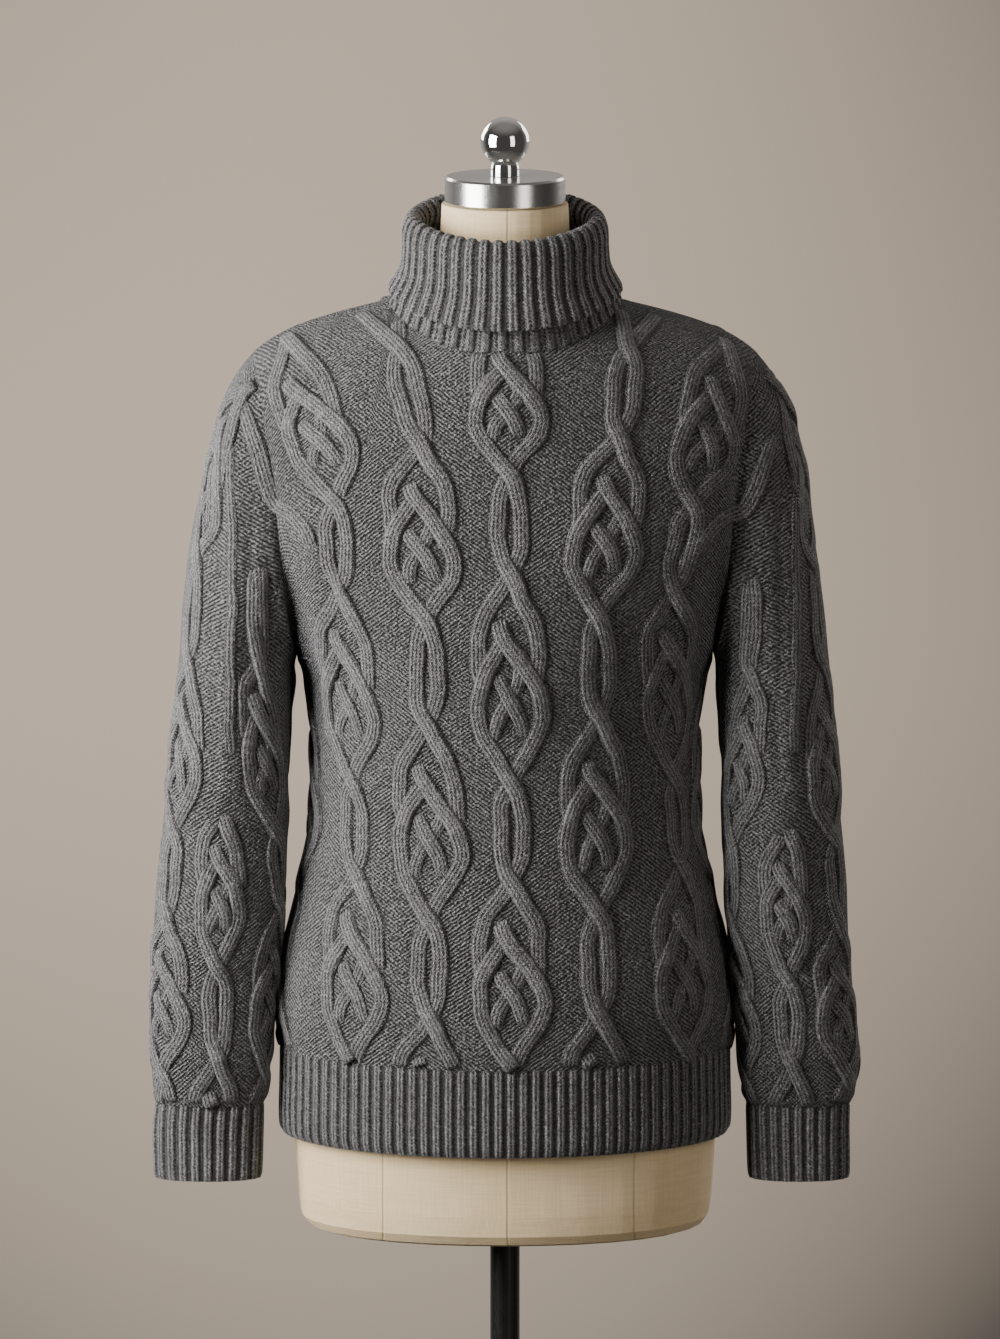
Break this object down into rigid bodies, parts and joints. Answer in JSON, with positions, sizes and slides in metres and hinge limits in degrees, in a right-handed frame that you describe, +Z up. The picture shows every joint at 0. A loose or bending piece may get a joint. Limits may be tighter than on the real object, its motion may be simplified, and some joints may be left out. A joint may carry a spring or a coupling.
{
  "type": "cable knit sweater on a dress form with a stand",
  "caption": "Cable-knit roll-neck sweater with ribbed hem and cuffs, worn by a limbless linen dress form with a steel neck cap, ball finial, pole and round base.",
  "frame": {"origin": "the middle of the overall box at floor level, under the pole's axis", "axes": "+Z up along the pole, -Y out of the garment's front, +X to the wearer's left"},
  "size_m": [0.5242, 0.38, 1.4959],
  "materials": {
    "ground_knit": "matte heathered grey wool, purl ground with raised cables",
    "rib_knit": "matte heathered grey wool rib",
    "linen": "matte natural linen, stretched over the form",
    "brushed_steel": "fine turned brushing",
    "chrome": "polished",
    "black_steel": "satin black paint"
  },
  "bodies": {
    "root": {"front": "ground_knit", "back": "ground_knit", "hem_rib_front": "rib_knit", "hem_rib_back": "rib_knit", "sleeve_right": "ground_knit", "sleeve_left": "ground_knit", "cuff_right": "rib_knit", "cuff_left": "rib_knit", "collar": "rib_knit", "form_torso": "linen", "neck_cap": "brushed_steel", "finial": "chrome", "stand_pole": "black_steel", "stand_base": "black_steel"}
  },
  "joints": []
}
